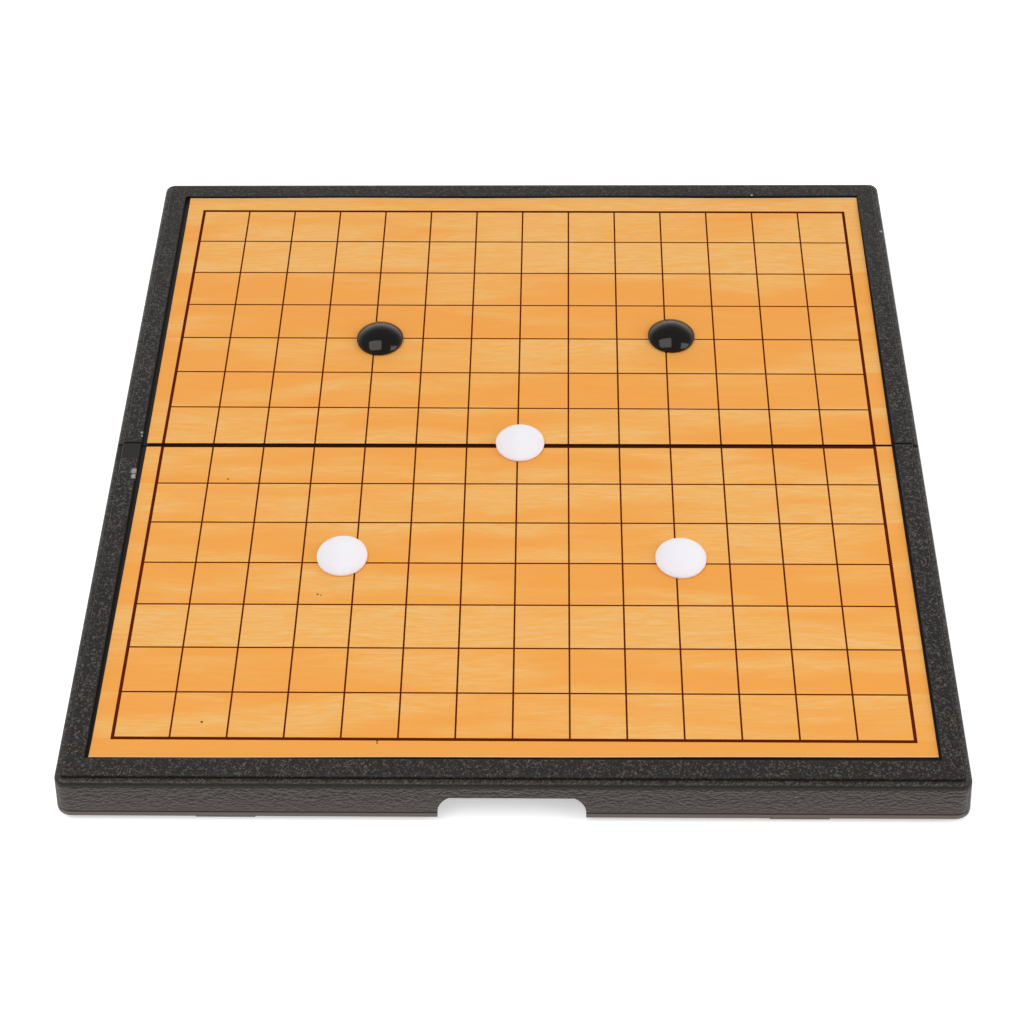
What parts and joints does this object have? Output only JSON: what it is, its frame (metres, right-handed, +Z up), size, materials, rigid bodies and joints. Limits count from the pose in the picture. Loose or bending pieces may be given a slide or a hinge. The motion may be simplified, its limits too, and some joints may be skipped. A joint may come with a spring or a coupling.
{
  "type": "folding game board",
  "caption": "Folding magnetic game board, opened flat: hinged hollow plastic trays with a printed line grid over sheet steel, finger notches and domed magnetic stones.",
  "frame": {"origin": "on the table under the middle of the seam, at the bottom centre of the opened board", "axes": "+X along the seam to the right, +Y away from the front edge, +Z up"},
  "size_m": [0.2532, 0.2532, 0.0204],
  "materials": {
    "case_plastic": "moulded leather grain, satin",
    "printed_sheet": "laminated wood print with dark lines",
    "sheet_steel": "rolled tinplate",
    "pin_steel": "drawn wire",
    "black_stone": "polished moulding",
    "white_stone": "polished moulding",
    "magnet": "sintered ferrite"
  },
  "bodies": {
    "front_half": {"front_tray": "case_plastic", "front_steel_sheet": "sheet_steel", "front_board_sheet": "printed_sheet", "left_hinge_pin": "pin_steel", "right_hinge_pin": "pin_steel"},
    "rear_half": {"rear_tray": "case_plastic", "rear_steel_sheet": "sheet_steel", "rear_board_sheet": "printed_sheet"},
    "black_left": {"black_stone_left": "black_stone", "black_stone_left_magnet": "magnet"},
    "black_right": {"black_stone_right": "black_stone", "black_stone_right_magnet": "magnet"},
    "white_centre": {"white_stone_centre": "white_stone", "white_stone_centre_magnet": "magnet"},
    "white_left": {"white_stone_left": "white_stone", "white_stone_left_magnet": "magnet"},
    "white_right": {"white_stone_right": "white_stone", "white_stone_right_magnet": "magnet"}
  },
  "joints": [
    {"name": "fold", "type": "hinge", "parent": "front_half", "child": "rear_half", "pos_m": [0, 0, 0.0023], "axis": [-1, 0, 0], "range_deg": [0, 180]},
    {"name": "lift_black_left", "type": "slide", "parent": "rear_half", "child": "black_left", "axis": [0, 0, 1], "range_m": [0, 0.03]},
    {"name": "lift_black_right", "type": "slide", "parent": "rear_half", "child": "black_right", "axis": [0, 0, 1], "range_m": [0, 0.03]},
    {"name": "lift_white_centre", "type": "slide", "parent": "rear_half", "child": "white_centre", "axis": [0, 0, 1], "range_m": [0, 0.03]},
    {"name": "lift_white_left", "type": "slide", "parent": "front_half", "child": "white_left", "axis": [0, 0, 1], "range_m": [0, 0.03]},
    {"name": "lift_white_right", "type": "slide", "parent": "front_half", "child": "white_right", "axis": [0, 0, 1], "range_m": [0, 0.03]}
  ]
}
